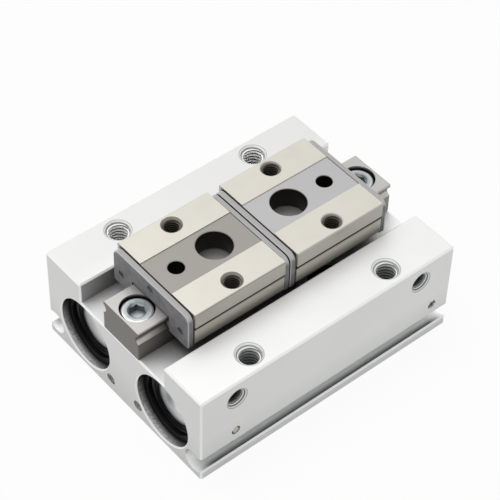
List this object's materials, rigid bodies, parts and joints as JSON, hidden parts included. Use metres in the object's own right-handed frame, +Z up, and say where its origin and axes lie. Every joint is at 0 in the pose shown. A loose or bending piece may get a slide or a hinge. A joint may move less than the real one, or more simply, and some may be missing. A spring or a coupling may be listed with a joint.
{
  "type": "pneumatic gripper",
  "caption": "Flat double-acting air gripper: two fingers on a linear guide rail, driven apart and together by side-by-side pistons through a rack and pinion.",
  "frame": {"origin": "middle of the flat mounting face, which is the underside", "axes": "+X along the fingers' travel and the rail, +Z up out of the mounting face towards the fingers, -Y out of the side with the air ports"},
  "size_m": [0.0534, 0.0408, 0.0255],
  "materials": {
    "anodised_aluminium": "fine blasted, clear anodised",
    "cap_aluminium": "turned, clear anodised",
    "rail_steel": "hardened and ground",
    "ground_steel": "ground, rust resistant",
    "bearing_steel": "hardened and polished",
    "screw_steel": "rust resistant, as formed",
    "pinion_steel": "hobbed and hardened",
    "piston_steel": "turned and milled",
    "plug_steel": "plain",
    "spring_steel": "dark phosphated",
    "plate_plastic": "moulded, matt grey",
    "black_rubber": "matt",
    "magnet": "nickel plated"
  },
  "bodies": {
    "housing": {"housing": "anodised_aluminium", "guide_rail": "rail_steel", "rail_screws": "screw_steel", "pinion_axle": "rail_steel", "end_plugs": "plug_steel", "side_plugs": "plug_steel", "end_cap_left_near": "cap_aluminium", "end_cap_left_far": "cap_aluminium", "end_cap_right_near": "cap_aluminium", "end_cap_right_far": "cap_aluminium", "cap_seal_left_near": "black_rubber", "cap_seal_left_far": "black_rubber", "cap_seal_right_near": "black_rubber", "cap_seal_right_far": "black_rubber", "retaining_ring_left_near": "spring_steel", "retaining_ring_left_far": "spring_steel", "retaining_ring_right_near": "spring_steel", "retaining_ring_right_far": "spring_steel", "damper_left_near": "black_rubber", "damper_left_far": "black_rubber", "damper_right_near": "black_rubber", "damper_right_far": "black_rubber"},
    "left_finger": {"left_finger_block": "ground_steel", "left_inner_plate": "plate_plastic", "left_outer_plate": "plate_plastic", "left_inner_wiper": "black_rubber", "left_outer_wiper": "black_rubber", "left_plate_screws": "screw_steel", "left_guide_balls": "bearing_steel", "left_joint_pin": "rail_steel", "left_piston": "piston_steel", "left_piston_magnet": "magnet", "left_piston_seal_left": "black_rubber", "left_piston_seal_right": "black_rubber"},
    "right_finger": {"right_finger_block": "ground_steel", "right_inner_plate": "plate_plastic", "right_outer_plate": "plate_plastic", "right_inner_wiper": "black_rubber", "right_outer_wiper": "black_rubber", "right_plate_screws": "screw_steel", "right_guide_balls": "bearing_steel", "right_joint_pin": "rail_steel", "right_piston": "piston_steel", "right_piston_magnet": "magnet", "right_piston_seal_left": "black_rubber", "right_piston_seal_right": "black_rubber"},
    "pinion": {"pinion": "pinion_steel"}
  },
  "joints": [
    {"name": "left_finger_slide", "type": "slide", "parent": "housing", "child": "left_finger", "axis": [-1, 0, 0], "range_m": [0, 0.006]},
    {"name": "right_finger_slide", "type": "slide", "parent": "housing", "child": "right_finger", "axis": [1, 0, 0], "range_m": [0, 0.006]},
    {"name": "pinion_spin", "type": "hinge", "parent": "housing", "child": "pinion", "pos_m": [0, 0, 0.00778], "axis": [0, 0, 1], "range_deg": [0, 69]}
  ],
  "couplings": [
    {"joint": "right_finger_slide", "follows": "left_finger_slide", "ratio": 1},
    {"joint": "pinion_spin", "follows": "left_finger_slide", "rad_per_m": 200}
  ]
}
